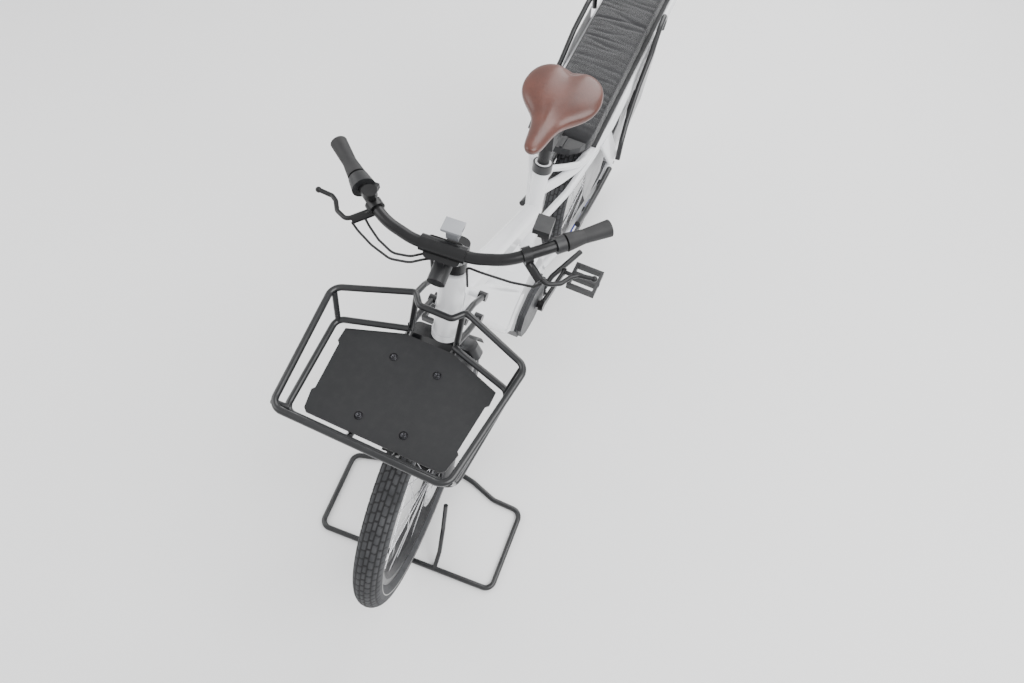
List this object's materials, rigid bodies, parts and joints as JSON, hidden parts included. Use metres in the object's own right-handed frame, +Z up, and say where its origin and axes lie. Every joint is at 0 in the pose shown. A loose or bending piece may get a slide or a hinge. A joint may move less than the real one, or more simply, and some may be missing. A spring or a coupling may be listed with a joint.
{
  "type": "electric cargo bicycle",
  "caption": "Long-tail electric bicycle with a step-through frame, mid motor, front basket tray, long padded rear rack and a floor stand holding the front wheel",
  "frame": {"origin": "middle of the bounding box on the floor plane", "axes": "+X forward, +Y to the rider's left, +Z up"},
  "size_m": [1.9785, 0.5758, 1.1452],
  "materials": {
    "bar_bell": "satin black",
    "bar_cables": "matt",
    "bar_controls": "satin black",
    "basket": "satin black",
    "brake_levers": "satin black",
    "centre_stand": "satin black",
    "chain": "oiled",
    "crankset": "satin black",
    "cushion": "matt",
    "display": "gloss",
    "floor_stand": "satin black",
    "foot_rails": "satin black",
    "fork": "satin black",
    "frame": "gloss white",
    "front_axle": "brushed",
    "front_disc": "brushed",
    "front_hub": "satin black",
    "front_mudguard": "matt",
    "front_rim": "satin black",
    "front_spokes": "polished",
    "front_tyre": "satin",
    "grips": "matt",
    "handlebar": "anodised black",
    "headlight": "gloss",
    "motor": "matt",
    "motor_cover_left": "matt",
    "pedal_left": "matt",
    "pedal_right": "matt",
    "rack_deck": "satin black",
    "rack_nose": "satin black",
    "rear_axle": "brushed",
    "rear_disc": "brushed",
    "rear_hub": "satin black",
    "rear_rim": "satin black",
    "rear_spokes": "polished",
    "rear_sprocket": "satin black",
    "rear_tyre": "satin",
    "saddle": "semi-gloss",
    "seat_clamp": "satin black",
    "seat_post": "anodised black",
    "side_panels": "matt",
    "side_rails": "satin black",
    "stand_bracket": "satin black",
    "stand_pin": "satin black",
    "stem": "anodised black",
    "tray": "satin black"
  },
  "bodies": {
    "steering": {"bar_bell": "bar_bell", "bar_cables": "bar_cables", "bar_controls": "bar_controls", "brake_levers": "brake_levers", "display": "display", "fork": "fork", "front_axle": "front_axle", "front_mudguard": "front_mudguard", "grips": "grips", "handlebar": "handlebar", "headlight": "headlight", "stem": "stem"},
    "main_frame": {"basket": "basket", "chain": "chain", "cushion": "cushion", "floor_stand": "floor_stand", "foot_rails": "foot_rails", "frame": "frame", "motor": "motor", "motor_cover_left": "motor_cover_left", "rack_deck": "rack_deck", "rack_nose": "rack_nose", "rear_axle": "rear_axle", "saddle": "saddle", "seat_clamp": "seat_clamp", "seat_post": "seat_post", "side_panels": "side_panels", "side_rails": "side_rails", "stand_bracket": "stand_bracket", "stand_pin": "stand_pin", "tray": "tray"},
    "centre_stand": {"centre_stand": "centre_stand"},
    "cranks": {"crankset": "crankset"},
    "front_wheel": {"front_disc": "front_disc", "front_hub": "front_hub", "front_rim": "front_rim", "front_spokes": "front_spokes", "front_tyre": "front_tyre"},
    "pedal_left": {"pedal_left": "pedal_left"},
    "pedal_right": {"pedal_right": "pedal_right"},
    "rear_wheel": {"rear_disc": "rear_disc", "rear_hub": "rear_hub", "rear_rim": "rear_rim", "rear_spokes": "rear_spokes", "rear_sprocket": "rear_sprocket", "rear_tyre": "rear_tyre"}
  },
  "joints": [
    {"name": "steering", "type": "hinge", "parent": "main_frame", "child": "steering", "pos_m": [0.4477, 0.00517, 0.7857], "axis": [-0.3256, 0, 0.9455], "range_deg": [-45.5, 34.5]},
    {"name": "front_wheel_spin", "type": "hinge", "parent": "steering", "child": "front_wheel", "pos_m": [0.6306, 0.00847, 0.35995], "axis": [-0.0906, 0.9954, -0.0312], "continuous": true},
    {"name": "rear_wheel_spin", "type": "hinge", "parent": "main_frame", "child": "rear_wheel", "pos_m": [-0.58925, 0.00517, 0.36], "axis": [0, 1, 0], "continuous": true},
    {"name": "crank_spin", "type": "hinge", "parent": "main_frame", "child": "cranks", "pos_m": [0.01074, 0.00517, 0.313], "axis": [0, 1, 0], "continuous": true},
    {"name": "pedal_left_spin", "type": "hinge", "parent": "cranks", "child": "pedal_left", "pos_m": [-0.1575, 0.09817, 0.27724], "axis": [0, 1, 0], "continuous": true},
    {"name": "pedal_right_spin", "type": "hinge", "parent": "cranks", "child": "pedal_right", "pos_m": [0.17899, -0.08783, 0.34876], "axis": [0, 1, 0], "continuous": true},
    {"name": "stand_swing", "type": "hinge", "parent": "main_frame", "child": "centre_stand", "pos_m": [-0.09426, 0.00517, 0.215], "axis": [0, 1, 0], "range_deg": [-95, 0]}
  ]
}
